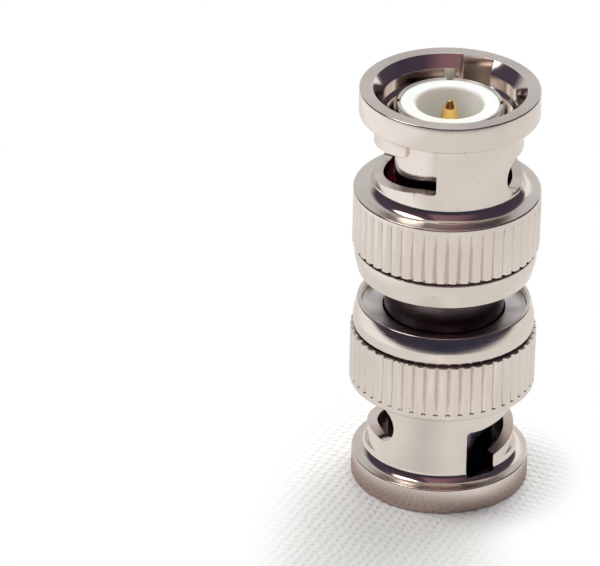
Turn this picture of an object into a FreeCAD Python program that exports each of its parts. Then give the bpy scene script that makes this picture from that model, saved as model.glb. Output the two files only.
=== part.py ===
import FreeCAD, Part
import math
import os

# Bayonet adapter with a plug at each end, in millimetres. The part stands on the front face of its lower
# nut, with its axis along +Z. Each end is drawn once, front face down at height 0, and then set in place.

# Whole adapter
neck_gap = 2.7  # bare neck between the rears of the two nuts
lower_turn = -55.5  # where each end's first bayonet entry stands, in degrees from +X
upper_turn = -111.2

# Fits
running_gap = 0.1  # radial, between pieces that turn or slide on each other
press_gap = 0.01  # radial, between pieces that are pressed together

# Coupling nut, flange end
flange_diameter = 13.9
flange_thickness = 2.1
mouth_diameter = 11.85
mouth_depth = 0.95  # of the steep lead-in
lead_diameter = 10.45  # where the steep lead-in meets the gentle one
lead_depth = 2.1

# Coupling nut, barrel
socket_bore = 9.9
barrel_wall = 0.8
barrel_end = 8.5  # height of the grip's front face
root_cone = 0.65  # each way, of the cone at both ends of the barrel

# Bayonet slots, measured back from the flange's rear face
keyway_width = 2.55
keyway_clearance = 0.2  # radial, of the keyway outside the barrel, so that it opens the barrel's side
slot_count = 2
slot_width = 2.85
slot_start = 2.85
slot_rise = 1.05
ramp_angle = 70.0
lock_angle = 92.0
lock_hole_diameter = 2.95
cutter_reach = 1.0  # how far a slot's cutter starts inside and ends outside the barrel's wall

# Fluted grip
grip_diameter = 14.5
grip_length = 4.65
grip_rim = 0.5  # plain rim in front of the flutes
flute_count = 48
flute_width = 0.5
flute_depth = 0.26
collar_diameter = 13.95

# Chamber in the rear of the nut
shoulder_height = 10.8  # the nut's inner shoulder rests on the flange ring here
chamber_diameter = 12.9
washer_recess = 0.65

# Rings and spring in the chamber
flange_ring_thickness = 1.6
spring_height = 1.45  # of the wavy spring when it is relaxed
spring_thickness = 0.3
spring_width = 1.1
thrust_washer_thickness = 0.4
retaining_washer_thickness = 0.6
spring_waves = 3
points_per_wave = 8

# Body sleeve: the outer contact of each end, with the bare neck between them
contact_diameter = 8.2
contact_wall = 0.27
contact_front = 1.15  # behind the nut's front face
finger_count = 4
finger_slot_width = 0.5
finger_slot_length = 4.15
finger_turn = -22.0  # from the bayonet entry to the nearest finger slot
neck_diameter = 9.3

# Gasket and insulator
gasket_thickness = 1.0
gasket_width = 0.54  # from its bore to its rim
insulator_front = 1.25
cup_mouth_diameter = 5.2
cup_floor_diameter = 4.7
cup_depth = 5.5

# Centre contact
pin_diameter = 1.35
pin_front = 1.05
pin_nose_length = 1.4
pin_tip_diameter = 0.3
pin_bulge_diameter = 1.05  # where the nose's blunt taper meets its slender one
pin_bulge_height = 0.6  # of that place behind the tip

# Heights that follow
slot_base = flange_thickness
grip_rear = barrel_end + grip_length
gasket_front = shoulder_height - gasket_thickness
flange_ring_rear = shoulder_height + flange_ring_thickness
thrust_front = flange_ring_rear + spring_height
retaining_front = thrust_front + thrust_washer_thickness
retaining_rear = retaining_front + retaining_washer_thickness
nut_length = retaining_rear + washer_recess
overall_length = 2 * nut_length + neck_gap

# Diameters that follow
barrel_diameter = socket_bore + 2 * barrel_wall
keyway_diameter = barrel_diameter + 2 * keyway_clearance
body_bore = contact_diameter - 2 * contact_wall
insulator_diameter = body_bore - 2 * press_gap
gasket_diameter = socket_bore - 2 * running_gap
seated_bore = gasket_diameter - 2 * gasket_width
seat_diameter = seated_bore - 2 * press_gap  # carries the gasket and the flange ring
loose_diameter = chamber_diameter - 2 * running_gap
loose_bore = neck_diameter + 2 * running_gap

origin = FreeCAD.Vector(0, 0, 0)
axis = FreeCAD.Vector(0, 0, 1)
sideways = FreeCAD.Vector(1, 0, 0)


def at(radius, height):
    """A point of a section, in the plane that holds the axis."""
    return FreeCAD.Vector(radius, 0, height)


def turned(corners):
    """A turned piece: its closed section of (radius, height) corners, spun once round the axis."""
    points = [at(radius, height) for radius, height in corners]
    face = Part.Face(Part.makePolygon(points + [points[0]]))
    return face.revolve(origin, axis, 360)


def washer(outer, inner, low, high):
    """A flat ring between two heights."""
    return turned([(inner / 2, low), (outer / 2, low), (outer / 2, high), (inner / 2, high)])


def ring_of(cutter, count):
    """Copies of one cutter, evenly round the axis."""
    copies = []
    for i in range(count):
        copy = cutter.copy()
        copy.rotate(origin, axis, i * 360.0 / count)
        copies.append(copy)
    return copies


def nut_blank():
    """The coupling nut before its slots and flutes are cut."""
    return turned([
        (mouth_diameter / 2, 0),
        (flange_diameter / 2, 0),
        (flange_diameter / 2, flange_thickness),
        (barrel_diameter / 2 + root_cone, flange_thickness),
        (barrel_diameter / 2, flange_thickness + root_cone),
        (barrel_diameter / 2, barrel_end - root_cone),
        (barrel_diameter / 2 + root_cone, barrel_end),
        (grip_diameter / 2, barrel_end),
        (grip_diameter / 2, grip_rear),
        (collar_diameter / 2, grip_rear),
        (collar_diameter / 2, nut_length),
        (chamber_diameter / 2, nut_length),
        (chamber_diameter / 2, shoulder_height),
        (socket_bore / 2, shoulder_height),
        (socket_bore / 2, lead_depth),
        (lead_diameter / 2, mouth_depth),
    ])


def bayonet_cutter():
    """One bayonet slot: keyway and entry, ramp, level stretch and round lock hole."""
    inside = socket_bore / 2 - cutter_reach
    outside = barrel_diameter / 2 + cutter_reach
    start = slot_base + slot_start
    entry_length = start + slot_width / 2
    entry = Part.makeBox(keyway_diameter / 2, keyway_width, entry_length)
    entry.translate(FreeCAD.Vector(0, -keyway_width / 2, 0))
    entry = entry.common(Part.makeCylinder(keyway_diameter / 2, entry_length))

    corners = [
        at(inside, start - slot_width / 2),
        at(outside, start - slot_width / 2),
        at(outside, start + slot_width / 2),
        at(inside, start + slot_width / 2),
    ]
    profile = Part.makePolygon(corners + [corners[0]])
    helix = Part.makeHelix(slot_rise * 360 / ramp_angle, slot_rise, barrel_diameter / 2)
    helix.translate(FreeCAD.Vector(0, 0, start))
    ramp = Part.Wire(helix).makePipeShell([profile], True, True)

    level = Part.Face(profile).revolve(origin, axis, lock_angle - ramp_angle)
    level.translate(FreeCAD.Vector(0, 0, slot_rise))
    level.rotate(origin, axis, ramp_angle)

    lock_centre = at(inside, start + slot_rise)
    lock = Part.makeCylinder(lock_hole_diameter / 2, outside - inside, lock_centre, sideways)
    lock.rotate(origin, axis, lock_angle)
    return entry.fuse([ramp, level, lock])


def flute_cutter():
    """One straight flute of the grip, open at the grip's rear."""
    top = grip_diameter / 2 + flute_depth
    half_width = flute_width
    corners = [
        FreeCAD.Vector(grip_diameter / 2 - flute_depth, 0, 0),
        FreeCAD.Vector(top, half_width, 0),
        FreeCAD.Vector(top, -half_width, 0),
    ]
    face = Part.Face(Part.makePolygon(corners + [corners[0]]))
    face.translate(FreeCAD.Vector(0, 0, barrel_end + grip_rim))
    return face.extrude(axis * (grip_length - grip_rim))


def coupling_nut():
    nut = nut_blank()
    nut = nut.cut(ring_of(bayonet_cutter(), slot_count))
    return nut.cut(ring_of(flute_cutter(), flute_count))


def both_ways(corners):
    """A closed section whose outline is drawn up to the middle height and mirrored above it."""
    mirrored = [(radius, overall_length - height) for radius, height in reversed(corners)]
    return turned(corners + mirrored)


def body_sleeve():
    """Spring fingers at both ends, a seat for each flange ring and gasket, and the neck between."""
    sleeve = both_ways([
        (body_bore / 2, contact_front),
        (contact_diameter / 2, contact_front),
        (contact_diameter / 2, gasket_front),
        (seat_diameter / 2, gasket_front),
        (seat_diameter / 2, flange_ring_rear),
        (neck_diameter / 2, flange_ring_rear),
    ])
    slot = Part.makeBox(contact_diameter / 2, finger_slot_width, finger_slot_length)
    slot.translate(FreeCAD.Vector(0, -finger_slot_width / 2, contact_front))
    slot.rotate(origin, axis, finger_turn)
    slots = ring_of(slot, finger_count)
    return sleeve.cut([set_lower(slot) for slot in slots] + [set_upper(slot) for slot in slots])


def insulator():
    """Insulator through the whole body, with a cup at each end round the centre contact."""
    hole = pin_diameter / 2 + press_gap
    cup_floor = insulator_front + cup_depth
    return both_ways([
        (hole, cup_floor),
        (cup_floor_diameter / 2, cup_floor),
        (cup_mouth_diameter / 2, insulator_front),
        (insulator_diameter / 2, insulator_front),
    ])


def wave_edge(radius, height):
    """One closed edge of the wave spring."""
    swing = (spring_height - spring_thickness) / 2
    count = spring_waves * points_per_wave
    points = []
    for i in range(count):
        turn = 2 * math.pi * i / count
        rise = swing * math.cos(spring_waves * turn)
        points.append(FreeCAD.Vector(radius * math.cos(turn), radius * math.sin(turn), height + rise))
    curve = Part.BSplineCurve()
    curve.interpolate(Points=points, PeriodicFlag=True)
    return curve.toShape()


def wave_spring():
    """Spring washer that bears on the flange ring and on the thrust washer."""
    outer = loose_diameter / 2
    inner = outer - spring_width
    middle = flange_ring_rear + spring_height / 2
    low = middle - spring_thickness / 2
    high = middle + spring_thickness / 2
    edges = [wave_edge(inner, low), wave_edge(outer, low), wave_edge(outer, high), wave_edge(inner, high)]
    faces = [Part.makeRuledSurface(edges[i - 1], edges[i]) for i in range(len(edges))]
    return solid_of(faces)


def solid_of(faces):
    """A closed solid from faces that share their edges."""
    shell = Part.makeShell(faces)
    shell.sewShape()
    solid = Part.makeSolid(shell)
    if solid.Volume < 0:
        solid.reverse()
    return solid


def centre_pin():
    """Double-ended contact, turned from one rod, with a nose of two tapers at each end."""
    return both_ways([
        (0, pin_front),
        (pin_tip_diameter / 2, pin_front),
        (pin_bulge_diameter / 2, pin_front + pin_bulge_height),
        (pin_diameter / 2, pin_front + pin_nose_length),
    ])


def set_lower(shape):
    """The lower end stands as drawn, turned about the axis."""
    placed = shape.copy()
    placed.rotate(origin, axis, lower_turn)
    return placed


def set_upper(shape):
    """The upper end is the same end turned over."""
    placed = shape.copy()
    placed.rotate(origin, sideways, 180)
    placed.translate(FreeCAD.Vector(0, 0, overall_length))
    placed.rotate(origin, axis, upper_turn)
    return placed


end_pieces = {
    "flange_ring": washer(loose_diameter, seated_bore, shoulder_height, flange_ring_rear),
    "gasket": washer(gasket_diameter, seated_bore, gasket_front, shoulder_height),
    "wave_spring": wave_spring(),
    "thrust_washer": washer(loose_diameter, loose_bore, thrust_front, retaining_front),
    "retaining_washer": washer(chamber_diameter - 2 * press_gap, loose_bore, retaining_front, retaining_rear),
    "coupling_nut": coupling_nut(),
}

pieces = {"centre_pin": centre_pin(), "insulator": insulator(), "body_sleeve": body_sleeve()}
for name, shape in end_pieces.items():
    pieces["lower_" + name] = set_lower(shape)
    pieces["upper_" + name] = set_upper(shape)

os.makedirs("parts", exist_ok=True)
for name, shape in pieces.items():
    shape.exportStep("parts/" + name + ".step")
    print(name, len(shape.Solids), shape.isValid(), round(shape.Volume, 2))
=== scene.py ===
import math

import bmesh
import bpy
from bpy.props import FloatProperty, FloatVectorProperty, IntProperty, PointerProperty
from mathutils import Euler, Matrix, Vector


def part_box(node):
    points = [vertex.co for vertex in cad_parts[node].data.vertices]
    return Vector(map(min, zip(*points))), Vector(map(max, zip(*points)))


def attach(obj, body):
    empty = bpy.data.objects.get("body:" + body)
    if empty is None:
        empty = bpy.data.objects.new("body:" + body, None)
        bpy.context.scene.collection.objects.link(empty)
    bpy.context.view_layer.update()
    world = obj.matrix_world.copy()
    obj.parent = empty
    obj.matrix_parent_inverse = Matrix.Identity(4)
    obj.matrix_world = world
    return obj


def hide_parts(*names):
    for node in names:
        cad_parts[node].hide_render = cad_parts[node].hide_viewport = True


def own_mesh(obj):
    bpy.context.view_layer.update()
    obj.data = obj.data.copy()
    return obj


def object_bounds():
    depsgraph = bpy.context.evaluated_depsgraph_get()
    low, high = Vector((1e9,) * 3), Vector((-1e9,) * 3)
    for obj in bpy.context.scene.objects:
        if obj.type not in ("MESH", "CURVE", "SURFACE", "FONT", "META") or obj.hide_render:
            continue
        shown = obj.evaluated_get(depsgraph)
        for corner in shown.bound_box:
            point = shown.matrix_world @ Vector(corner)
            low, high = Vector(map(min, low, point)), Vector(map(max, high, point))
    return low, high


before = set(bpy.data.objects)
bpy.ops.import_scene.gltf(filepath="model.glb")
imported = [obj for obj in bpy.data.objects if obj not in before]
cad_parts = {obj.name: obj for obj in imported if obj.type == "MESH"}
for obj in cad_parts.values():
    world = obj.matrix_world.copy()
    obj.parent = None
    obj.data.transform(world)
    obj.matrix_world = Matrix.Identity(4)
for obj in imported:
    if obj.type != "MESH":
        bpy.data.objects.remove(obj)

bl_info = {
    "name": "Bayonet adapter",
    "version": (1, 0, 0),
    "blender": (4, 5, 0),
    "location": "3D View > Sidebar > Adapter",
    "description": "Dresses a bayonet coaxial adapter that has a coupling nut at each end",
    "category": "Object",
}

MM = 0.001
ENDS = ("lower", "upper")
SMOOTH_ANGLE = math.radians(32)  # edges sharper than this stay hard
FIT = 0.01 * MM  # gap round a piece that is pressed or slipped into another
COLUMNS_PER_FLUTE = 8  # lines of points along the nut for each flute
WHITE = (1, 1, 1, 1)

cad_low, cad_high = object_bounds()
full_length = cad_high[2] - cad_low[2]


# Sizes and colours


def linear(name, description, value):
    return FloatProperty(name=name, description=description, default=value, unit="LENGTH", precision=5)


def angular(name, description, degrees):
    return FloatProperty(name=name, description=description, default=math.radians(degrees), subtype="ANGLE")


def counted(name, description, value, least, most):
    return IntProperty(name=name, description=description, default=value, min=least, max=most)


def colour(name, description, value):
    return FloatVectorProperty(name=name, description=description, default=value, subtype="COLOR", min=0, max=1)


class NutSizes(bpy.types.PropertyGroup):
    """Sizes of the coupling nut, measured back from its front face"""

    flange_diameter: linear("Flange", "Diameter of the front flange", 13.9 * MM)
    flange_thickness: linear("Flange thickness", "From the front face to the barrel", 2.1 * MM)
    mouth_diameter: linear("Mouth", "Diameter of the lead-in at the front face", 11.85 * MM)
    mouth_depth: linear("Mouth depth", "Depth of the steep lead-in", 0.95 * MM)
    lead_diameter: linear("Lead", "Diameter behind the steep lead-in", 10.45 * MM)
    socket_bore: linear("Bore", "Diameter that the socket slides into", 9.9 * MM)
    barrel_diameter: linear("Barrel", "Outer diameter of the slotted barrel", 11.5 * MM)
    barrel_end: linear("Grip front", "Height of the grip's front face", 8.5 * MM)
    fillet: linear("Fillet", "Rounding where the barrel meets the flange and the grip", 0.9 * MM)
    grip_diameter: linear("Grip", "Outer diameter of the fluted grip", 14.5 * MM)
    grip_length: linear("Grip length", "Length of the fluted grip", 4.65 * MM)
    grip_rim: linear("Plain rim", "Plain rim in front of the flutes", 0.5 * MM)
    flute_count: counted("Flutes", "How many flutes the grip has", 48, least=12, most=90)
    flute_width: linear("Flute width", "Width of a flute at the grip's surface", 0.5 * MM)
    flute_depth: linear("Flute depth", "Depth of a flute", 0.26 * MM)
    flute_face: linear("Flute face", "From the plain rim to where a flute starts", 0.05 * MM)
    flute_run_out: linear("Flute run-out", "Length over which a flute reaches its depth", 1.5 * MM)
    collar_diameter: linear("Collar", "Diameter of the plain collar behind the grip", 14.1 * MM)
    groove_depth: linear("Groove depth", "Depth of the groove between grip and collar", 0.26 * MM)
    groove_width: linear("Groove width", "Width of the groove between grip and collar", 0.3 * MM)
    collar_straight: linear("Collar taper", "From the grip to where the collar starts to taper", 1.1 * MM)
    collar_fall: linear("Collar fall", "How much smaller the collar's radius is at its rear", 0.3 * MM)
    chamber_diameter: linear("Chamber", "Bore of the spring chamber", 12.9 * MM)
    shoulder_height: linear("Shoulder", "Height of the chamber's floor", 10.8 * MM)
    nut_length: linear("Nut length", "From the front face to the rear face", 15.5 * MM)
    keyway_width: linear("Keyway", "Width of the keyway that lets a stud in", 2.55 * MM)
    keyway_clearance: linear("Keyway clearance", "Depth of the keyway outside the barrel", 0.2 * MM)
    slot_width: linear("Slot", "Width of the bayonet slot", 2.85 * MM)
    slot_start: linear("Slot start", "From the flange to the slot's middle at the entry", 2.85 * MM)
    slot_rise: linear("Slot rise", "How far the ramp climbs", 1.05 * MM)
    ramp_angle: angular("Ramp", "Angle at which the ramp ends", 70)
    lock_angle: angular("Lock", "Angle of the round lock hole", 92)
    lock_hole_diameter: linear("Lock hole", "Diameter of the round lock hole", 2.95 * MM)


class BodySizes(bpy.types.PropertyGroup):
    """Sizes of the pieces inside the two nuts, measured from one end"""

    length: linear("Length", "Overall length of the adapter", full_length)
    lower_turn: angular("Lower nut", "Where the lower nut's first entry stands", -55.5)
    upper_turn: angular("Upper nut", "Where the upper nut's first entry stands", -111.2)
    contact_diameter: linear("Contact", "Diameter of the slotted outer contact", 8.2 * MM)
    contact_wall: linear("Contact wall", "Wall of the slotted outer contact", 0.27 * MM)
    contact_front: linear(
        "Contact front", "How far the contact stands behind the nut's front face", 1.15 * MM)
    finger_count: counted("Fingers", "Spring fingers of a contact", 4, least=2, most=12)
    finger_slot_width: linear("Finger slot", "Width between two fingers", 0.5 * MM)
    finger_slot_length: linear("Finger length", "Length of the slots between fingers", 4.15 * MM)
    finger_turn: angular("Finger turn", "From the bayonet entry to the nearest finger slot", -22)
    seat_diameter: linear("Seat", "Diameter that carries the gasket and the flange ring", 8.6 * MM)
    neck_diameter: linear("Neck", "Diameter of the bare neck", 9.3 * MM)
    gasket_thickness: linear("Gasket", "Thickness of the gasket", 1.0 * MM)
    flange_ring_thickness: linear("Flange ring", "Thickness of the ring that the nut pulls on", 1.6 * MM)
    spring_height: linear("Spring", "Height of the relaxed wave spring", 1.45 * MM)
    spring_thickness: linear("Spring strip", "Thickness of the wave spring's strip", 0.3 * MM)
    spring_width: linear("Spring width", "Width of the wave spring's strip", 1.1 * MM)
    spring_waves: counted("Waves", "Waves of the spring", 3, least=2, most=6)
    insulator_front: linear(
        "Insulator front", "How far the insulator stands behind the nut's front face", 1.25 * MM)
    cup_mouth_diameter: linear("Cup mouth", "Diameter of the insulator's cup at its lip", 5.2 * MM)
    cup_floor_diameter: linear("Cup floor", "Diameter of the insulator's cup at its floor", 4.7 * MM)
    cup_depth: linear("Cup depth", "Depth of the insulator's cup", 5.5 * MM)
    pin_diameter: linear("Pin", "Diameter of the centre contact", 1.35 * MM)
    pin_front: linear("Pin front", "How far the pin's tip stands behind the nut's front face", 1.05 * MM)
    pin_nose_length: linear("Pin nose", "Length of the pin's tapered nose", 1.4 * MM)


class FinishColours(bpy.types.PropertyGroup):
    """Colours of the adapter's finishes and of the floor"""

    nickel: colour("Nickel", "Colour of the nickel plate", (0.83, 0.75, 0.69))
    nickel_cast: colour("Nickel cast", "Faint cast where the plate is thin", (0.77, 0.69, 0.63))
    # painted shade for grooves and corners, also the colour of small dark pits
    crevice_shade_and_pits: colour("Crevice shade and pits", "Painted shade in grooves and corners, and the colour of small dark pits", (0.10, 0.075, 0.085))
    neck: colour("Neck", "Dark brownish tone of the bare neck", (0.20, 0.155, 0.155))
    neck_cast: colour("Neck cast", "Darker patches on the bare neck", (0.09, 0.065, 0.075))
    # painted shade for the lower outer contact and the slot walls
    film: colour("Film", "Dark film on the lower outer contact and in the bayonet slots", (0.14, 0.125, 0.16))
    painted_shade_cast: colour("Painted shade cast", "Darker patches of the painted shade", (0.08, 0.07, 0.10))
    gold: colour("Gold", "Colour of the gold plate", (0.95, 0.67, 0.23))
    gold_cast: colour("Gold cast", "Deeper tone of the gold plate", (0.84, 0.52, 0.15))
    insulator: colour("Insulator", "White moulded insulator", (0.86, 0.87, 0.84))
    insulator_cast: colour("Insulator cast", "Milky tone inside the white plastic", (0.80, 0.79, 0.74))
    gasket: colour("Gasket", "Red silicone", (0.50, 0.015, 0.07))
    gasket_cast: colour("Gasket cast", "Darker red where the silicone is thick", (0.34, 0.008, 0.04))
    steel: colour("Washer steel", "Dull plate of the flat washers", (0.86, 0.81, 0.80))
    spring: colour("Spring steel", "Rolled strip of the wave springs", (0.55, 0.52, 0.50))
    floor: colour("Floor cloth", "Pale woven cloth", (0.92, 0.91, 0.895))


# Sections and meshes


def rounded(corners, step=math.radians(18)):
    """The points of a closed section whose (radius, height, rounding) corners are rounded."""
    points = []
    for i, (radius, height, rounding) in enumerate(corners):
        here = Vector((radius, height))
        if rounding <= 0:
            points.append(here)
            continue
        back = (Vector(corners[i - 1][:2]) - here).normalized()
        ahead = (Vector(corners[(i + 1) % len(corners)][:2]) - here).normalized()
        between = back.angle(ahead)
        centre = here + (back + ahead).normalized() * (rounding / math.sin(between / 2))
        first = here + back * (rounding / math.tan(between / 2)) - centre
        last = here + ahead * (rounding / math.tan(between / 2)) - centre
        sweep = math.pi - between
        steps = max(2, math.ceil(sweep / step))
        for k in range(steps + 1):
            share = k / steps
            reach = first * math.sin((1 - share) * sweep) + last * math.sin(share * sweep)
            points.append(centre + reach / math.sin(sweep))
    return points


def ring_section(inner, outer, low, high, roundings, step=math.radians(18)):
    """The section of a flat ring. The roundings go inner low, outer low, outer high, inner high."""
    corners = ((inner, low), (outer, low), (outer, high), (inner, high))
    return rounded([(*corner, rounding) for corner, rounding in zip(corners, roundings)], step)


def both_ways(half, length):
    """The section of a piece with two like ends, from one end's section, which starts and ends half way."""
    one_end = half[1:-1]
    return one_end + [Vector((point.x, length - point.y)) for point in reversed(one_end)]


def even_angles(count):
    return [2 * math.pi * i / count for i in range(count)]


def fill(data, mesh):
    """Writes a bmesh to mesh data, smooth except at its hard edges."""
    mesh.to_mesh(data)
    mesh.free()
    data.shade_smooth()
    data.set_sharp_from_angle(angle=SMOOTH_ANGLE)


def new_piece(name, mesh):
    """An object from a bmesh."""
    bmesh.ops.recalc_face_normals(mesh, faces=mesh.faces)
    data = bpy.data.meshes.new(name)
    fill(data, mesh)
    piece = bpy.data.objects.new(name, data)
    bpy.context.scene.collection.objects.link(piece)
    return piece


def turned(name, section, facets, shape=None):
    """A piece turned from a closed section. shape(point, angle) gives a point's radius and height where
    they change round the axis."""
    mesh = bmesh.new()
    rings = []
    for angle in even_angles(facets):
        ring = []
        for point in section:
            radius, height = shape(point, angle) if shape else point
            ring.append(mesh.verts.new((radius * math.cos(angle), radius * math.sin(angle), height)))
        rings.append(ring)
    for i, ring in enumerate(rings):
        before = rings[i - 1]
        for j in range(len(section)):
            if max(section[j].x, section[j - 1].x) > 0:
                mesh.faces.new((before[j - 1], ring[j - 1], ring[j], before[j]))
    bmesh.ops.remove_doubles(mesh, verts=mesh.verts, dist=1e-8)
    return new_piece(name, mesh)


def prism(name, stations):
    """A closed solid through stations, each a ring of the same number of corners."""
    mesh = bmesh.new()
    rings = [[mesh.verts.new(corner) for corner in station] for station in stations]
    for before, ring in zip(rings, rings[1:]):
        for j in range(len(ring)):
            mesh.faces.new((before[j - 1], ring[j - 1], ring[j], before[j]))
    mesh.faces.new(rings[0])
    mesh.faces.new(list(reversed(rings[-1])))
    return new_piece(name, mesh)


def cut(piece, cutters):
    """Cuts closed cutters out of a piece, and clears the slivers that this leaves."""
    for cutter in cutters:
        change = piece.modifiers.new("cut", "BOOLEAN")
        change.operation = "DIFFERENCE"
        change.solver = "EXACT"
        change.object = cutter
    shown = piece.evaluated_get(bpy.context.evaluated_depsgraph_get())
    data = bpy.data.meshes.new_from_object(shown)
    piece.modifiers.clear()
    piece.data = data
    for cutter in cutters:
        bpy.data.objects.remove(cutter)
    if not data.polygons:
        raise RuntimeError("nothing is left of " + piece.name)
    mesh = bmesh.new()
    mesh.from_mesh(data)
    bmesh.ops.remove_doubles(mesh, verts=mesh.verts, dist=0.003 * MM)
    bmesh.ops.dissolve_degenerate(mesh, edges=mesh.edges, dist=0.001 * MM)
    fill(data, mesh)


def set_on_end(piece, end, sizes):
    """Moves a mesh that is drawn front face down to its end of the adapter."""
    if end == "lower":
        place = Matrix.Rotation(sizes.lower_turn, 4, "Z")
    else:
        lift = Matrix.Translation((0, 0, sizes.length))
        place = Matrix.Rotation(sizes.upper_turn, 4, "Z") @ lift @ Matrix.Rotation(math.pi, 4, "X")
    piece.data.transform(place)
    piece.data.update()


# Node helpers


def feed(tree, node, inputs):
    """Gives each named socket of a node a plain value, or joins it to the output that feeds it."""
    for socket, value in inputs.items():
        if isinstance(value, bpy.types.NodeSocket):
            tree.links.new(value, node.inputs[socket])
        else:
            node.inputs[socket].default_value = value


def add(tree, kind, inputs=None, **settings):
    """A new node with its settings, and what its sockets are given."""
    node = tree.nodes.new(kind)
    for name, value in settings.items():
        setattr(node, name, value)
    feed(tree, node, inputs or {})
    return node


def maths(tree, operation, *values, clamped=False):
    """The result of a sum on values or outputs."""
    node = add(tree, "ShaderNodeMath", dict(enumerate(values)), operation=operation, use_clamp=clamped)
    return node.outputs[0]


def vector_value(tree, operation, *vectors):
    """The number that a vector operation gives, such as a length."""
    node = add(tree, "ShaderNodeVectorMath", dict(enumerate(vectors)), operation=operation)
    return node.outputs["Value"]


def mixed(tree, share, first, second):
    """A colour between two others. The colours are sockets 6 and 7 of a Mix node, and its output 2."""
    inputs = {"Factor": share, 6: first, 7: second}
    return add(tree, "ShaderNodeMix", inputs, data_type="RGBA").outputs[2]


def mapped(tree, value, start, end, low=0.0, high=1.0, interpolation="LINEAR"):
    """A value that goes from low to high while another goes from start to end."""
    inputs = {"Value": value, "From Min": start, "From Max": end, "To Min": low, "To Max": high}
    return add(tree, "ShaderNodeMapRange", inputs, interpolation_type=interpolation).outputs[0]


def eased(tree, value, start, end, low=0.0, high=1.0):
    """A mapped value with soft ends."""
    return mapped(tree, value, start, end, low, high, "SMOOTHSTEP")


def object_place(tree):
    """Where a point lies on its piece."""
    return add(tree, "ShaderNodeTexCoord").outputs["Object"]


def split_up(tree, vector):
    return add(tree, "ShaderNodeSeparateXYZ", {0: vector}).outputs


def opaque(value, share=1.0):
    """A property's colour, or a share of it, as a socket takes it."""
    return (*(channel * share for channel in value), 1.0)


def new_material(name):
    material = bpy.data.materials.new(name)
    material.use_nodes = True
    return material, material.node_tree


def shared_group(name, inputs, outputs, build):
    """A shader node group with named inputs and outputs, built once for all the materials that use it."""
    tree = bpy.data.node_groups.get(name)
    if tree is None:
        tree = bpy.data.node_groups.new(name, "ShaderNodeTree")
        for label, kind, value in inputs:
            tree.interface.new_socket(label, in_out="INPUT", socket_type=kind).default_value = value
        for label, kind in outputs:
            tree.interface.new_socket(label, in_out="OUTPUT", socket_type=kind)
        results = build(tree, add(tree, "NodeGroupInput").outputs)
        add(tree, "NodeGroupOutput", results)
    return tree


# Finishes


def turning_marks():
    """Fine rings that a lathe leaves, constant round the axis."""

    def build(tree, given):
        place = object_place(tree)
        along = split_up(tree, place)
        flat = add(tree, "ShaderNodeCombineXYZ", {"X": along["X"], "Y": along["Y"]}).outputs[0]
        radius = vector_value(tree, "LENGTH", flat)
        ring = add(tree, "ShaderNodeCombineXYZ", {"X": radius, "Y": along["Z"]}).outputs[0]
        inputs = {0: ring, "Scale": given["Fineness"]}
        scaled = add(tree, "ShaderNodeVectorMath", inputs, operation="SCALE").outputs[0]
        inputs = {"Vector": scaled, "Scale": 1.0, "Detail": 3.0}
        fine = add(tree, "ShaderNodeTexNoise", inputs, noise_dimensions="2D").outputs["Fac"]
        inputs = {"Vector": place, "Scale": 700.0, "Detail": 2.0}
        broad = add(tree, "ShaderNodeTexNoise", inputs, noise_dimensions="3D").outputs["Fac"]
        return {"Height": maths(tree, "MULTIPLY_ADD", broad, given["Waviness"], fine)}

    return shared_group(
        "turning marks",
        (("Fineness", "NodeSocketFloat", 9000.0), ("Waviness", "NodeSocketFloat", 0.3)),
        (("Height", "NodeSocketFloat"),),
        build,
    )


def plate_cast():
    """Slow drift of a plated or moulded surface between two tones and two roughnesses."""

    def build(tree, given):
        inputs = {"Vector": object_place(tree), "Scale": given["Scale"], "Detail": 4.0}
        drift = add(tree, "ShaderNodeTexNoise", inputs).outputs["Fac"]
        spread = mapped(tree, drift, 0.35, 0.7)
        return {
            "Colour": mixed(tree, spread, given["Colour"], given["Cast"]),
            "Roughness": mapped(tree, spread, 0.0, 1.0, given["Polished"], given["Hazy"]),
        }

    return shared_group(
        "plate cast",
        (
            ("Colour", "NodeSocketColor", (0.8, 0.8, 0.8, 1)),
            ("Cast", "NodeSocketColor", (0.7, 0.7, 0.7, 1)),
            ("Scale", "NodeSocketFloat", 250.0),
            ("Polished", "NodeSocketFloat", 0.1),
            ("Hazy", "NodeSocketFloat", 0.2),
        ),
        (("Colour", "NodeSocketColor"), ("Roughness", "NodeSocketFloat")),
        build,
    )


def small_pits():
    """A mask of sparse pits and specks in a plated surface."""

    def build(tree, given):
        inputs = {"Vector": object_place(tree), "Scale": given["Scale"]}
        cells = add(tree, "ShaderNodeTexVoronoi", inputs, feature="F1")
        chance = add(tree, "ShaderNodeSeparateColor", {0: cells.outputs["Color"]}).outputs[0]
        rare = maths(tree, "GREATER_THAN", chance, 0.95)
        near = maths(tree, "LESS_THAN", cells.outputs["Distance"], given["Size"])
        return {"Mask": maths(tree, "MULTIPLY", rare, near)}

    return shared_group(
        "small pits",
        (("Scale", "NodeSocketFloat", 2500.0), ("Size", "NodeSocketFloat", 0.13)),
        (("Mask", "NodeSocketFloat"),),
        build,
    )
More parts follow.
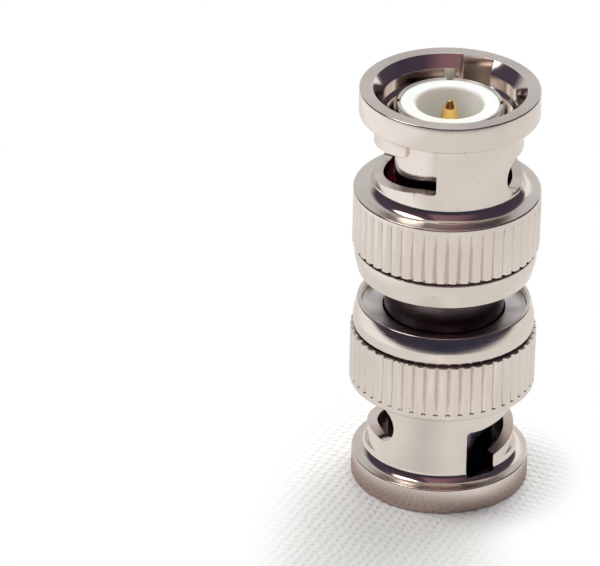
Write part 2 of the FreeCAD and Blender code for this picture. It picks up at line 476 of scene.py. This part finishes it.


# Each finish has two tones from the colours above, its polished and its hazy roughness, and the scale of the
# drift between them. marks are the fineness and depth of lathe marks, and grain is the depth of a fine grain.
# edge is the radius that edges are eased to, and the crevice flag puts painted shade in the crevices and small
# dark pits in the surface.
FINISHES = {
    "polished nickel": dict(
        tones=("nickel", "nickel_cast"), gloss=(0.07, 0.13), scale=220.0,
        marks=(26000.0, 0.001 * MM), edge=0.07 * MM, filmed=True),
    "faced nickel": dict(
        tones=("nickel", "nickel_cast"), gloss=(0.26, 0.34), scale=300.0,
        marks=(26000.0, 0.0012 * MM), edge=0.07 * MM, filmed=True,
        shader={"Anisotropic": 0.8, "Anisotropic Rotation": 0.25}, round_axis=True),
    # painted shade for the lower outer contact and the bayonet slots' walls
    "filmed nickel": dict(
        tones=("film", "painted_shade_cast"), gloss=(0.14, 0.24), scale=420.0,
        marks=(20000.0, 0.0014 * MM), edge=0.05 * MM, filmed=True),
    "bare neck nickel": dict(
        tones=("neck", "neck_cast"), gloss=(0.26, 0.38), scale=420.0,
        marks=(20000.0, 0.0014 * MM), filmed=True),
    "gold plate": dict(
        tones=("gold", "gold_cast"), gloss=(0.14, 0.24), scale=600.0,
        marks=(30000.0, 0.001 * MM)),
    "white insulator": dict(
        tones=("insulator", "insulator_cast"), gloss=(0.3, 0.42), scale=160.0, metallic=0.0,
        grain=0.004 * MM, shader={"Subsurface Weight": 0.3, "Subsurface Scale": 1.2 * MM}),
    "red silicone": dict(
        tones=("gasket", "gasket_cast"), gloss=(0.38, 0.55), scale=500.0, metallic=0.0, grain=0.006 * MM),
    "dull washer steel": dict(
        tones=("steel", "spring"), gloss=(0.3, 0.42), scale=400.0,
        marks=(18000.0, 0.003 * MM)),
    "rolled spring steel": dict(
        tones=("spring", "steel"), gloss=(0.28, 0.4), scale=500.0, grain=0.004 * MM),
}


def finish(name):
    """The material of a finish, made when it is first asked for."""
    return bpy.data.materials.get(name) or new_finish(name, **FINISHES[name])


def new_finish(name, tones, gloss, scale, metallic=1.0, marks=None, grain=0.0, edge=0.0,
               filmed=False, shader=None, round_axis=False):
    """Makes a finish's material. shader holds more values of the Principled BSDF, and round_axis turns its
    tangent round the axis."""
    colours = bpy.context.scene.adapter_colours
    material, tree = new_material(name)
    plain, patches = (opaque(getattr(colours, tone)) for tone in tones)
    polished, hazy = gloss
    inputs = {"Colour": plain, "Cast": patches, "Scale": scale, "Polished": polished, "Hazy": hazy}
    cast = add(tree, "ShaderNodeGroup", inputs, node_tree=plate_cast())
    tone = cast.outputs["Colour"]
    # painted shade darkens the crevices, and small dark pits speck the plate
    if filmed:
        tone = with_crevice_shade(tree, tone, colours.crevice_shade_and_pits)
    if marks:
        fineness, depth = marks
        rings = add(tree, "ShaderNodeGroup", {"Fineness": fineness}, node_tree=turning_marks())
        height = rings.outputs["Height"]
    else:
        depth = grain
        inputs = {"Vector": object_place(tree), "Scale": 6000.0, "Detail": 3.0}
        height = add(tree, "ShaderNodeTexNoise", inputs).outputs["Fac"]
    bump = add(tree, "ShaderNodeBump", {"Height": height, "Distance": depth, "Strength": 1.0})
    if edge:
        soft = add(tree, "ShaderNodeBevel", {"Radius": edge}, samples=6)
        feed(tree, bump, {"Normal": soft.outputs[0]})
    principled = tree.nodes["Principled BSDF"]
    feed(tree, principled, {
        "Base Color": tone,
        "Metallic": metallic,
        "Roughness": cast.outputs["Roughness"],
        "Normal": bump.outputs[0],
        **(shader or {}),
    })
    if round_axis:
        tangent = add(tree, "ShaderNodeTangent", direction_type="RADIAL", axis="Z")
        feed(tree, principled, {"Tangent": tangent.outputs[0]})
    return material


def with_crevice_shade(tree, tone, film):
    """A tone with painted shade in its crevices, and the same dark colour at half strength in its pits."""
    crevice = add(tree, "ShaderNodeAmbientOcclusion", {"Distance": 0.45 * MM}, samples=8, only_local=True)
    unshaded = eased(tree, crevice.outputs["AO"], 0.3, 0.6)
    pits = add(tree, "ShaderNodeGroup", node_tree=small_pits()).outputs["Mask"]
    whole = maths(tree, "MULTIPLY_ADD", pits, -0.5, unshaded, clamped=True)
    return mixed(tree, whole, opaque(film), tone)


def dress(piece, body, node, slot, material, *others):
    """Puts a finished piece on its body, in place of the solid that it stands for. others are pairs of a
    second finish and the test that picks its faces."""
    piece.data.materials.clear()
    piece.data.materials.append(finish(material))
    for index, (other, picked) in enumerate(others, 1):
        piece.data.materials.append(finish(other))
        for face in piece.data.polygons:
            if picked(face):
                face.material_index = index
    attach(piece, body)
    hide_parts(node)


# Coupling nuts


def nut_section(nut):
    """The nut's closed section with its small roundings, from the mouth round the outside and back inside."""
    flange = nut.flange_diameter / 2
    barrel = nut.barrel_diameter / 2
    grip = nut.grip_diameter / 2
    collar = nut.collar_diameter / 2
    chamber = nut.chamber_diameter / 2
    bore = nut.socket_bore / 2
    lead = nut.lead_diameter / 2
    grip_rear = nut.barrel_end + nut.grip_length
    rim = nut.barrel_end + nut.grip_rim
    lead_end = nut.flange_thickness - 0.2 * MM
    broken, fine, soft = 0.05 * MM, 0.06 * MM, 0.12 * MM  # how far edges are rounded
    return rounded([
        (nut.mouth_diameter / 2, 0, fine),
        (flange, 0, 0.09 * MM),
        (flange, nut.flange_thickness, soft),
        (barrel, nut.flange_thickness, nut.fillet),
        (barrel, nut.barrel_end, nut.fillet),
        (grip, nut.barrel_end, soft),
        (grip, rim, 0),
        (grip, rim + nut.flute_face, 0),
        (grip, rim + nut.flute_run_out, 0),
        (grip, grip_rear, fine),
        (collar - nut.groove_depth, grip_rear, 0),
        (collar - nut.groove_depth, grip_rear + nut.groove_width, 0),
        (collar, grip_rear + nut.groove_width, fine),
        (collar, grip_rear + nut.collar_straight, soft),
        (collar - nut.collar_fall, nut.nut_length, 0.1 * MM),
        (chamber, nut.nut_length, broken),
        (chamber, nut.shoulder_height, 0.1 * MM),
        (bore, nut.shoulder_height, broken),
        (bore, lead_end + (lead - bore), broken),
        (lead, lead_end, broken),
        (lead, nut.mouth_depth, broken),
    ])


def fluted(nut):
    """The shape of the nut at an angle, with the flutes cut into the grip."""
    pitch = 2 * math.pi / nut.flute_count
    grip = nut.grip_diameter / 2
    rim = nut.barrel_end + nut.grip_rim
    grip_rear = nut.barrel_end + nut.grip_length
    front_share = 0.35  # of the depth, where a flute starts
    near = 0.01 * MM  # points closer than this count as level

    def shape(point, angle):
        on_grip = point.x > grip - 0.1 * MM and rim + near < point.y < grip_rear + 0.1 * near
        if not on_grip:
            return point
        off = abs((angle + pitch / 2) % pitch - pitch / 2) * grip
        depth = nut.flute_depth * (front_share if point.y < rim + nut.flute_face + near else 1.0)
        return point.x - depth * max(0.0, 1 - off / (nut.flute_width / 2)), point.y

    return shape


def slot_cutter(name, nut, turn):
    """The bayonet slot from the entry to the round lock hole, as a prism through stations along it."""
    radius = nut.barrel_diameter / 2
    inside, outside = radius - 1.25 * MM, radius + 1.0 * MM  # clear of the barrel's wall
    half = nut.slot_width / 2
    start = nut.flange_thickness + nut.slot_start
    hole = nut.lock_hole_diameter / 2
    entry = math.asin(nut.keyway_width / 2 / radius)
    tip = 0.12 * MM  # rounding of the corner at the entry
    last = nut.lock_angle + hole * 0.998 / radius  # just short of where the hole's height is nought
    steps = 96
    crowding = 1.6  # brings the stations closer together toward the hole's far side
    stations = []
    for i in range(steps + 1):
        share = i / steps
        angle = last * (1 - (1 - share) ** crowding)
        climb = nut.slot_rise * min(1.0, angle / nut.ramp_angle)
        low, high = start + climb - half, start + climb + half
        past_entry = (angle - entry) * radius
        if past_entry < tip:
            off = min(tip, tip - past_entry)
            low -= tip - math.sqrt(tip * tip - off * off)
        past_lock = (angle - nut.lock_angle) * radius
        if abs(past_lock) < hole:
            bow = math.sqrt(hole * hole - past_lock * past_lock)
            middle = start + nut.slot_rise
            if past_lock > 0:
                low, high = middle - bow, middle + bow
            else:
                low, high = min(low, middle - bow), max(high, middle + bow)
        across = Vector((math.cos(turn + angle), math.sin(turn + angle), 0))
        corners = ((inside, low), (outside, low), (outside, high), (inside, high))
        stations.append([across * reach + Vector((0, 0, height)) for reach, height in corners])
    return prism(name, stations)


def keyway_cutter(name, nut, turn):
    """The keyway that lets a stud past the mouth and into the slot, with rounded corners at its end."""
    inside = nut.socket_bore / 2 - 0.65 * MM  # clear of the bore
    outside = nut.barrel_diameter / 2 + nut.keyway_clearance
    half = nut.keyway_width / 2
    front = -0.5 * MM  # clear of the front face
    top = nut.flange_thickness + nut.slot_start + nut.slot_width / 2
    corner = 0.35 * MM
    turning = Matrix.Rotation(turn, 3, "Z")
    stations = []
    steps = 24
    for i in range(steps + 1):
        across = -half * math.cos(math.pi * i / steps)
        into_corner = max(0.0, abs(across) - (half - corner))
        high = top - corner + math.sqrt(max(0.0, corner * corner - into_corner * into_corner))
        depth = math.sqrt(outside * outside - across * across)
        corners = ((inside, front), (depth, front), (depth, high), (inside, high))
        stations.append([turning @ Vector((reach, across, height)) for reach, height in corners])
    return prism(name, stations)


def turned_flat(face):
    """True for a face that was turned square to the axis, or nearly so."""
    return abs(face.normal.z) > 0.98


def cut_wall(nut, sizes):
    """The test for faces of the walls that the bayonet slots leave in a nut's barrel, which get painted shade.
    """
    skin = 0.03 * MM
    inner, outer = nut.socket_bore / 2 + skin, nut.barrel_diameter / 2 - skin
    slot_low, slot_high = 4.4 * MM, 7.6 * MM  # from the nut's front face
    level, facing_out = 0.75, 0.5  # the most that a wall's normal points along the axis, and away from it

    def picked(face):
        height = min(face.center.z, sizes.length - face.center.z)
        outward = face.center.xy.normalized()
        steep = abs(face.normal.z) < level and abs(face.normal.xy.dot(outward)) < facing_out
        return steep and inner < face.center.xy.length < outer and slot_low < height < slot_high

    return picked


class ADAPTER_OT_coupling_nuts(bpy.types.Operator):
    """Turns both coupling nuts, with their flutes, keyways and bayonet slots"""

    bl_idname = "adapter.coupling_nuts"
    bl_label = "Coupling nuts"

    def execute(self, context):
        nut = context.scene.adapter_nut
        sizes = context.scene.adapter_body
        for end in ENDS:
            facets = COLUMNS_PER_FLUTE * nut.flute_count
            piece = turned(end + "_nut_shell", nut_section(nut), facets, fluted(nut))
            cutters = []
            for side, turn in enumerate((0.0, math.pi)):
                cutters.append(keyway_cutter("keyway_%d" % side, nut, turn))
                cutters.append(slot_cutter("slot_%d" % side, nut, turn))
            cut(piece, cutters)
            set_on_end(piece, end, sizes)
            # the walls of the bayonet slots take the painted shade finish
            dress(piece, end + "_nut", end + "_coupling_nut", "nickel", "polished nickel",
                  ("faced nickel", turned_flat), ("filmed nickel", cut_wall(nut, sizes)))
        return {"FINISHED"}


# Pieces inside the nuts


def finger_slots(sizes, bore, contact):
    """Cutters for the slots between the spring fingers of both contacts."""
    wide = sizes.finger_slot_width / 2
    low, high = sizes.contact_front - 0.5 * MM, sizes.contact_front + sizes.finger_slot_length
    corners = ((-wide, low), (wide, low), (wide, high), (-wide, high))
    cutters = []
    for end in ENDS:
        for i, angle in enumerate(even_angles(sizes.finger_count)):
            turn = Matrix.Rotation(sizes.finger_turn + angle, 3, "Z")
            stations = [[turn @ Vector((depth, across, height)) for across, height in corners]
                        for depth in (bore - 0.6 * MM, contact + 0.5 * MM)]
            slot = prism("finger_slot_%s_%d" % (end, i), stations)
            set_on_end(slot, end, sizes)
            cutters.append(slot)
    return cutters


class ADAPTER_OT_body_sleeve(bpy.types.Operator):
    """Turns the body sleeve with its spring fingers and bare neck"""

    bl_idname = "adapter.body_sleeve"
    bl_label = "Body sleeve"

    def execute(self, context):
        sizes = context.scene.adapter_body
        nut = context.scene.adapter_nut
        middle = sizes.length / 2
        contact = sizes.contact_diameter / 2
        bore = contact - sizes.contact_wall
        seat = sizes.seat_diameter / 2
        neck = sizes.neck_diameter / 2
        gasket_front = nut.shoulder_height - sizes.gasket_thickness
        ring_rear = nut.shoulder_height + sizes.flange_ring_thickness
        half = rounded([
            (bore, middle, 0),
            (bore, sizes.contact_front, 0.07 * MM),
            (contact, sizes.contact_front, 0.12 * MM),
            (contact, gasket_front, 0),
            (seat, gasket_front, 0.03 * MM),
            (seat, ring_rear, 0),
            (neck, ring_rear, 0.1 * MM),
            (neck, middle, 0),
        ])
        piece = turned("contact_sleeve", both_ways(half, sizes.length), facets=192)
        cut(piece, finger_slots(sizes, bore, contact))
        neck_start = neck - 0.2 * MM
        bore_skin = bore + 0.05 * MM
        rim = sizes.contact_front + 0.1 * MM

        def on_neck(face):
            return face.center.xy.length > neck_start

        def on_lower_contact(face):
            return rim < face.center.z < middle and face.center.xy.length > bore_skin

        # the lower outer contact takes the painted shade finish
        dress(piece, "adapter_body", "body_sleeve", "nickel", "polished nickel",
              ("filmed nickel", on_lower_contact), ("bare neck nickel", on_neck))
        return {"FINISHED"}


class ADAPTER_OT_insulator(bpy.types.Operator):
    """Turns the white insulator with a cup at each end"""

    bl_idname = "adapter.insulator"
    bl_label = "Insulator"

    def execute(self, context):
        sizes = context.scene.adapter_body
        middle = sizes.length / 2
        outer = sizes.contact_diameter / 2 - sizes.contact_wall - FIT
        hole = sizes.pin_diameter / 2 + FIT
        cup_floor = sizes.insulator_front + sizes.cup_depth
        half = rounded([
            (hole, middle, 0),
            (hole, cup_floor, 0.08 * MM),
            (sizes.cup_floor_diameter / 2, cup_floor, 0.35 * MM),
            (sizes.cup_mouth_diameter / 2, sizes.insulator_front, 0.3 * MM),
            (outer, sizes.insulator_front, 0.12 * MM),
            (outer, middle, 0),
        ], step=math.radians(10))
        piece = turned("insulator_core", both_ways(half, sizes.length), facets=160)
        dress(piece, "adapter_body", "insulator", "white_insulator", "white insulator")
        return {"FINISHED"}


class ADAPTER_OT_centre_pin(bpy.types.Operator):
    """Turns the gold centre contact with a rounded nose at each end"""

    bl_idname = "adapter.centre_pin"
    bl_label = "Centre pin"

    def execute(self, context):
        sizes = context.scene.adapter_body
        middle = sizes.length / 2
        radius = sizes.pin_diameter / 2
        front = sizes.pin_front
        nose = sizes.pin_nose_length
        half = rounded([
            (0, middle, 0),
            (0, front, 0),
            (0.17 * MM, front, 0.15 * MM),  # the blunt tip
            (0.78 * radius, front + 0.43 * nose, 0.6 * MM),  # where the nose bulges
            (radius, front + nose, 0.5 * MM),
            (radius, middle, 0),
        ], step=math.radians(6))
        piece = turned("pin_contact", both_ways(half, sizes.length), facets=96)
        dress(piece, "adapter_body", "centre_pin", "gold", "gold plate")
        return {"FINISHED"}


class ADAPTER_OT_gaskets(bpy.types.Operator):
    """Moulds the red gasket of each end"""

    bl_idname = "adapter.gaskets"
    bl_label = "Gaskets"

    def execute(self, context):
        sizes = context.scene.adapter_body
        nut = context.scene.adapter_nut
        inner = sizes.seat_diameter / 2 + FIT
        outer = nut.socket_bore / 2 - 0.1 * MM
        rear = nut.shoulder_height
        roundings = (0.2 * MM, 0.22 * MM, 0.08 * MM, 0.08 * MM)
        section = ring_section(inner, outer, rear - sizes.gasket_thickness, rear, roundings, math.radians(12))
        for end in ENDS:
            piece = turned(end + "_seal", section, facets=128)
            set_on_end(piece, end, sizes)
            dress(piece, "adapter_body", end + "_gasket", "red_gasket", "red silicone")
        return {"FINISHED"}


class ADAPTER_OT_retaining_washers(bpy.types.Operator):
    """Punches the flat washer that closes each nut's chamber"""

    bl_idname = "adapter.retaining_washers"
    bl_label = "Retaining washers"

    def execute(self, context):
        inner = context.scene.adapter_body.neck_diameter / 2 + 0.1 * MM
        for end in ENDS:
            low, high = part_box(end + "_retaining_washer")
            section = ring_section(inner, high.x, low.z, high.z, [0.07 * MM] * 4)
            piece = turned(end + "_closing_washer", section, facets=160)
            dress(piece, end + "_nut", end + "_retaining_washer", "washer_steel", "dull washer steel")
        return {"FINISHED"}


class ADAPTER_OT_wave_springs(bpy.types.Operator):
    """Forms the wave spring of each end from rolled strip"""

    bl_idname = "adapter.wave_springs"
    bl_label = "Wave springs"

    def execute(self, context):
        sizes = context.scene.adapter_body
        nut = context.scene.adapter_nut
        outer = nut.chamber_diameter / 2 - 0.1 * MM
        low = nut.shoulder_height + sizes.flange_ring_thickness
        thick = sizes.spring_thickness / 2
        swing = (sizes.spring_height - sizes.spring_thickness) / 2
        middle = low + sizes.spring_height / 2
        inner = outer - sizes.spring_width
        strip = ring_section(inner, outer, -thick, thick, [0.06 * MM] * 4, math.radians(30))

        def waved(point, angle):
            return point.x, middle + swing * math.cos(sizes.spring_waves * angle) + point.y

        for end in ENDS:
            piece = turned(end + "_wave_strip", strip, facets=144, shape=waved)
            set_on_end(piece, end, sizes)
            dress(piece, "adapter_body", end + "_wave_spring", "spring_steel", "rolled spring steel")
            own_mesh(piece)
        return {"FINISHED"}


class ADAPTER_OT_inner_rings(bpy.types.Operator):
    """Gives the flange rings and thrust washers their finishes"""

    bl_idname = "adapter.inner_rings"
    bl_label = "Inner rings"

    def execute(self, context):
        finishes = {"_flange_ring": "polished nickel", "_thrust_washer": "dull washer steel"}
        for end in ENDS:
            for ring, material in finishes.items():
                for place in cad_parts[end + ring].material_slots:
                    place.link = "OBJECT"
                    place.material = finish(material)
        return {"FINISHED"}


# Stage


def seen_or_mirrored(tree):
    """One where the eye, a mirror or glass looks at a surface, and nought where it lights others."""
    path = add(tree, "ShaderNodeLightPath").outputs
    either = maths(tree, "MAXIMUM", path["Is Camera Ray"], path["Is Glossy Ray"])
    return maths(tree, "MAXIMUM", either, path["Is Transmission Ray"])


def woven(tree, place, cloth):
    """The colour and the height of a fine plain weave that lies askew."""
    askew = add(tree, "ShaderNodeMapping", {"Vector": place, "Rotation": (0, 0, math.radians(24))}).outputs[0]
    inputs = {"Vector": askew, "Scale": 430.0, "Distortion": 3.0, "Detail": 3.0, "Detail Scale": 1.2}
    warp, weft = (
        add(tree, "ShaderNodeTexWave", inputs, wave_type="BANDS", bands_direction=way).outputs["Fac"]
        for way in "XY")
    height = maths(tree, "MULTIPLY", warp, weft)
    return mixed(tree, height, opaque(cloth, 0.94), opaque(cloth)), height


def floor_cloth():
    """Pale cloth with a fine plain weave, which fades to a white backdrop away from the adapter."""
    cloth = bpy.context.scene.adapter_colours.floor
    material, tree = new_material("floor cloth")
    place = object_place(tree)
    path = add(tree, "ShaderNodeLightPath").outputs
    tone, height = woven(tree, place, cloth)

    # A painted soft shadow lies in front of the adapter at the left, and painted shade darkens the cloth that
    # the metal mirrors close by
    beside = vector_value(tree, "DISTANCE", place, (-4 * MM, -5 * MM, 0))
    tone = mixed(tree, eased(tree, beside, 3 * MM, 11 * MM), opaque(cloth, 0.88), tone)
    clear = eased(tree, vector_value(tree, "LENGTH", place), 7.2 * MM, 12 * MM)
    close = maths(tree, "MULTIPLY_ADD", clear, -1.0, path["Is Glossy Ray"], clamped=True)
    mirrored_shade = maths(tree, "MULTIPLY", close, path["Is Glossy Ray"], clamped=True)
    tone = mixed(tree, mirrored_shade, tone, (0.44, 0.37, 0.35, 1))

    # The backdrop is white to the eye, and a little grey in mirrors except far at the left
    aside = eased(tree, split_up(tree, place)["X"], -28 * MM, -58 * MM)
    bright = maths(tree, "MAXIMUM", aside, path["Is Camera Ray"])
    backdrop = add(tree, "ShaderNodeEmission", {"Color": mixed(tree, bright, (0.80, 0.79, 0.77, 1), WHITE)})

    # The cloth shows in an oval in front of the adapter and close round it
    inputs = {"Vector": place, "Location": (-4 * MM, -14 * MM, 0), "Scale": (11 * MM, 30 * MM, 1)}
    oval = add(tree, "ShaderNodeMapping", inputs, vector_type="TEXTURE").outputs[0]
    away = maths(tree, "MULTIPLY", eased(tree, vector_value(tree, "LENGTH", oval), 0.5, 1.0), clear)
    shown = maths(tree, "MULTIPLY", away, seen_or_mirrored(tree))

    bump = add(tree, "ShaderNodeBump", {"Height": height, "Distance": 0.12 * MM, "Strength": 0.8})
    shader = tree.nodes["Principled BSDF"]
    feed(tree, shader, {
        "Base Color": tone,
        "Roughness": 0.95,
        "Specular IOR Level": 0.0,
        "Normal": bump.outputs[0],
    })
    blend = add(tree, "ShaderNodeMixShader", {"Fac": shown, 1: shader.outputs[0], 2: backdrop.outputs[0]})
    feed(tree, tree.nodes["Material Output"], {"Surface": blend.outputs[0]})
    return material


def ramp(tree, value, stops):
    """A colour that follows a value through (position, red, green, blue) stops."""
    node = add(tree, "ShaderNodeValToRGB", {0: value})
    held = node.color_ramp.elements
    held.remove(held[1])
    held[0].position, held[0].color = stops[0][0], (*stops[0][1:], 1)
    for position, red, green, blue in stops[1:]:
        held.new(position).color = (red, green, blue, 1)
    return node.outputs["Color"]


# The tent's colours round the adapter, from -180 to 180 degrees: 0 and 1 lie at the left, 0.25 in front,
# 0.5 at the right and 0.75 behind.
TENT_LOW = (
    (0.0, 0.06, 0.05, 0.075), (0.05, 0.05, 0.04, 0.055), (0.25, 0.035, 0.035, 0.06),
    (0.50, 0.05, 0.045, 0.065), (0.62, 0.08, 0.06, 0.08), (0.65, 0.90, 0.88, 0.84),
    (0.70, 0.92, 0.88, 0.84), (0.74, 0.66, 0.66, 0.66), (0.80, 0.66, 0.66, 0.66),
    (0.87, 0.56, 0.56, 0.55), (0.91, 0.07, 0.055, 0.08), (1.0, 0.06, 0.05, 0.075))
TENT_HIGH = (
    (0.0, 0.07, 0.055, 0.085), (0.06, 0.08, 0.05, 0.07), (0.17, 0.07, 0.045, 0.07),
    (0.20, 0.26, 0.15, 0.17), (0.29, 0.24, 0.13, 0.16), (0.39, 0.07, 0.045, 0.07),
    (0.50, 0.05, 0.045, 0.07), (0.62, 0.08, 0.06, 0.08), (0.66, 0.60, 0.61, 0.62),
    (0.74, 0.62, 0.63, 0.64), (0.86, 0.64, 0.65, 0.65), (0.91, 0.07, 0.055, 0.085),
    (1.0, 0.07, 0.055, 0.085))


def tent_cloth():
    """Shades of the reflecting tent, which glows: dark in front and at both sides, pale behind, with a painted
    highlight at the high left that stands in for the key lamp.
    """
    material, tree = new_material("tent cloth")
    tree.nodes.remove(tree.nodes["Principled BSDF"])
    way = add(tree, "ShaderNodeVectorMath", {0: object_place(tree)}, operation="NORMALIZE").outputs[0]
    along = split_up(tree, way)
    bearing = mapped(tree, maths(tree, "ARCTAN2", along["Y"], along["X"]), -math.pi, math.pi)
    climb = eased(tree, along["Z"], 0.15, 0.5)
    tone = mixed(tree, climb, ramp(tree, bearing, TENT_LOW), ramp(tree, bearing, TENT_HIGH))
    tone = mixed(tree, eased(tree, along["Z"], 0.93, 0.985), tone, WHITE)  # the roof
    # a painted highlight: a glowing spot stands in for the key lamp, which mirrors don't see
    key = vector_value(tree, "DOT_PRODUCT", way, Vector((-0.50, -0.09, 0.86)).normalized())
    painted_key_glint = eased(tree, key, 0.965, 0.99, 0.0, 2.4)
    light = add(tree, "ShaderNodeEmission", {
        "Color": mixed(tree, painted_key_glint, tone, (1.0, 0.99, 0.97, 1)),
        "Strength": maths(tree, "ADD", painted_key_glint, 1.0),
    })
    feed(tree, tree.nodes["Material Output"], {"Surface": light.outputs[0]})
    return material


def reflecting_tent(radius, middle):
    """A tent that only the metal mirrors, open behind at the right where the white backdrop shows."""
    ground = 0.1 * MM - middle
    mesh = bmesh.new()
    bmesh.ops.create_uvsphere(mesh, u_segments=96, v_segments=48, radius=radius)
    below = [corner for corner in mesh.verts if corner.co.z < ground]
    bmesh.ops.delete(mesh, geom=below, context="VERTS")
    opening = []
    for face in mesh.faces:
        centre = face.calc_center_median()
        bearing = math.degrees(math.atan2(centre.y, centre.x))
        if 50 < bearing < 70 and centre.z < 0.5 * radius:
            opening.append(face)
    bmesh.ops.delete(mesh, geom=opening, context="FACES")
    tent = new_piece("reflecting_tent", mesh)
    tent.location.z = middle
    tent.data.materials.append(tent_cloth())
    for light in ("camera", "diffuse", "transmission", "volume_scatter", "shadow"):
        setattr(tent, "visible_" + light, False)


def softbox(name, location, width, height, power, tint=(1, 1, 1)):
    """A soft lamp that faces the adapter's middle and isn't mirrored in it."""
    light = bpy.data.lights.new(name, "AREA")
    light.shape = "RECTANGLE"
    light.size = width
    light.size_y = height
    light.energy = power
    light.color = tint
    lamp = bpy.data.objects.new(name, light)
    lamp.location = location
    aim = Vector((0, 0, 15 * MM)) - Vector(location)
    lamp.rotation_euler = aim.to_track_quat("-Z", "Y").to_euler()
    lamp.visible_glossy = False
    bpy.context.scene.collection.objects.link(lamp)


def studio_room():
    """A plain room: a soft even fill, and white where it is seen or mirrored."""
    world = bpy.data.worlds.new("studio room")
    bpy.context.scene.world = world
    world.use_nodes = True
    tree = world.node_tree
    tone = mixed(tree, seen_or_mirrored(tree), (0.50, 0.50, 0.50, 1), WHITE)
    feed(tree, tree.nodes["Background"], {"Color": tone})


class ADAPTER_OT_stage(bpy.types.Operator):
    """Lays the floor cloth, sets the lights and places the camera"""

    bl_idname = "adapter.stage"
    bl_label = "Stage"

    def execute(self, context):
        mesh = bmesh.new()
        bmesh.ops.create_circle(mesh, cap_ends=True, segments=64, radius=1.6)
        floor = new_piece("floor", mesh)
        floor.location.z = cad_low[2] - 0.02 * MM
        floor.data.materials.append(floor_cloth())

        studio_room()
        reflecting_tent(radius=88 * MM, middle=17 * MM)
        softbox("high left softbox", (-0.42, 0.12, 0.52), width=0.30, height=0.30, power=1.85,
                tint=(1.0, 0.99, 0.97))
        softbox("back softbox", (0.15, 0.42, 0.52), width=0.50, height=0.35, power=3.0)

        view = bpy.data.cameras.new("view")
        view.lens = 328.314
        view.sensor_width = 36.0
        view.sensor_fit = "HORIZONTAL"
        view.clip_start = 0.01
        camera = bpy.data.objects.new("view", view)
        camera.location = (0.0, -0.3723036, 0.2212857)
        camera.rotation_euler = Euler([math.radians(angle) for angle in (61.1745, -0.8250, 2.1799)])
        context.scene.collection.objects.link(camera)
        context.scene.camera = camera
        context.scene.view_settings.view_transform = "Standard"
        return {"FINISHED"}


class ADAPTER_PT_panel(bpy.types.Panel):
    """Lists the adapter's pieces and its stage"""

    bl_idname = "ADAPTER_PT_panel"
    bl_label = "Bayonet adapter"
    bl_space_type = "VIEW_3D"
    bl_region_type = "UI"
    bl_category = "Adapter"

    def draw(self, context):
        for operator in OPERATORS:
            self.layout.operator(operator.bl_idname)
        for setting in SETTINGS:
            group = getattr(context.scene, setting)
            box = self.layout.box()
            for name in group.__annotations__:
                box.prop(group, name)


SETTINGS = {"adapter_nut": NutSizes, "adapter_body": BodySizes, "adapter_colours": FinishColours}
OPERATORS = (
    ADAPTER_OT_coupling_nuts,
    ADAPTER_OT_body_sleeve,
    ADAPTER_OT_insulator,
    ADAPTER_OT_centre_pin,
    ADAPTER_OT_gaskets,
    ADAPTER_OT_retaining_washers,
    ADAPTER_OT_wave_springs,
    ADAPTER_OT_inner_rings,
    ADAPTER_OT_stage,
)
CLASSES = (*SETTINGS.values(), *OPERATORS, ADAPTER_PT_panel)


def register():
    for kind in CLASSES:
        bpy.utils.register_class(kind)
    for name, group in SETTINGS.items():
        setattr(bpy.types.Scene, name, PointerProperty(type=group))


def unregister():
    for name in reversed(SETTINGS):
        delattr(bpy.types.Scene, name)
    for kind in reversed(CLASSES):
        bpy.utils.unregister_class(kind)


def main():
    register()
    for operator in OPERATORS:
        area, action = operator.bl_idname.split(".")
        getattr(getattr(bpy.ops, area), action)()


if __name__ == "__main__":
    main()
